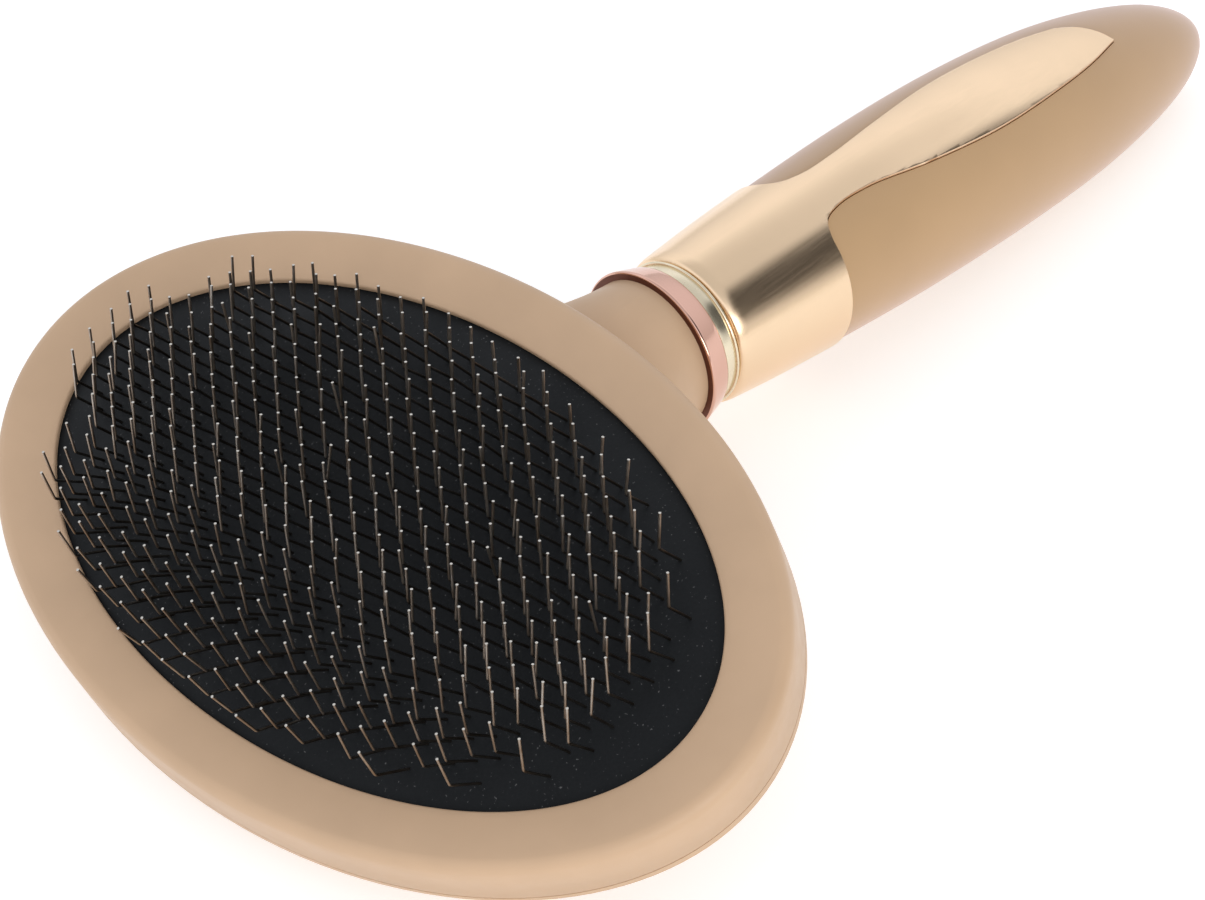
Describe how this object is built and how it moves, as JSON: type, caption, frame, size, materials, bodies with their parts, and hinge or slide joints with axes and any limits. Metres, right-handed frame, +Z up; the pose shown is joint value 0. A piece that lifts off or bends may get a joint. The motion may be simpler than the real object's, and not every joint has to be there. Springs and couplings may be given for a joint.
{
  "type": "slicker brush",
  "caption": "Oval slicker brush: bent wire pins in a cushioned black pad, beige frame and neck, rose ring, gold collar with a leaf tongue, soft grip.",
  "frame": {"origin": "centre of the footprint on the floor, with the brush lying on its back", "axes": "+X from the head towards the butt of the handle, +Y across the head, +Z up, pins upward"},
  "size_m": [0.188, 0.1154, 0.0385],
  "materials": {
    "beige_shell": "satin moulded plastic",
    "pad_rubber": "matt black rubber sheet",
    "pad_cloth": "woven backing",
    "foam": "open foam",
    "inner_plastic": "moulded",
    "screw_steel": "zinc plated",
    "rose_chrome": "polished rose metal",
    "pale_metal": "pale gold satin",
    "satin_gold": "satin gold plated",
    "soft_grip": "soft-touch matt",
    "pin_wire": "drawn steel wire"
  },
  "bodies": {
    "brush": {"front_frame": "beige_shell", "back_shell": "beige_shell", "foam_cushion": "foam", "cushion_tray": "inner_plastic", "tray_screws": "screw_steel", "neck_ring": "rose_chrome", "neck_bush": "pale_metal", "bead_ring": "pale_metal", "collar_sleeve": "satin_gold", "grip_shell": "soft_grip", "handle_core": "inner_plastic", "neck_washer": "screw_steel", "neck_screw": "screw_steel"},
    "pad": {"pin_pad": "pad_rubber", "pad_cloth": "pad_cloth", "staple_row_01": "pin_wire", "staple_row_02": "pin_wire", "staple_row_03": "pin_wire", "staple_row_04": "pin_wire", "staple_row_05": "pin_wire", "staple_row_06": "pin_wire", "staple_row_07": "pin_wire", "staple_row_08": "pin_wire", "staple_row_09": "pin_wire", "staple_row_10": "pin_wire", "staple_row_11": "pin_wire", "staple_row_12": "pin_wire", "staple_row_13": "pin_wire", "staple_row_14": "pin_wire", "staple_row_15": "pin_wire", "staple_row_16": "pin_wire", "staple_row_17": "pin_wire", "staple_row_18": "pin_wire", "staple_row_19": "pin_wire", "staple_row_20": "pin_wire", "staple_row_21": "pin_wire", "staple_row_22": "pin_wire", "staple_row_23": "pin_wire", "staple_row_24": "pin_wire", "staple_row_25": "pin_wire", "staple_row_26": "pin_wire", "staple_row_27": "pin_wire", "staple_row_28": "pin_wire", "staple_row_29": "pin_wire"}
  },
  "joints": [
    {"name": "pad_press", "type": "slide", "parent": "brush", "child": "pad", "axis": [0.2974, 0, -0.9548], "range_m": [0, 0.002], "stiffness_N_per_m": 2500, "deforming": ["foam_cushion"]}
  ]
}
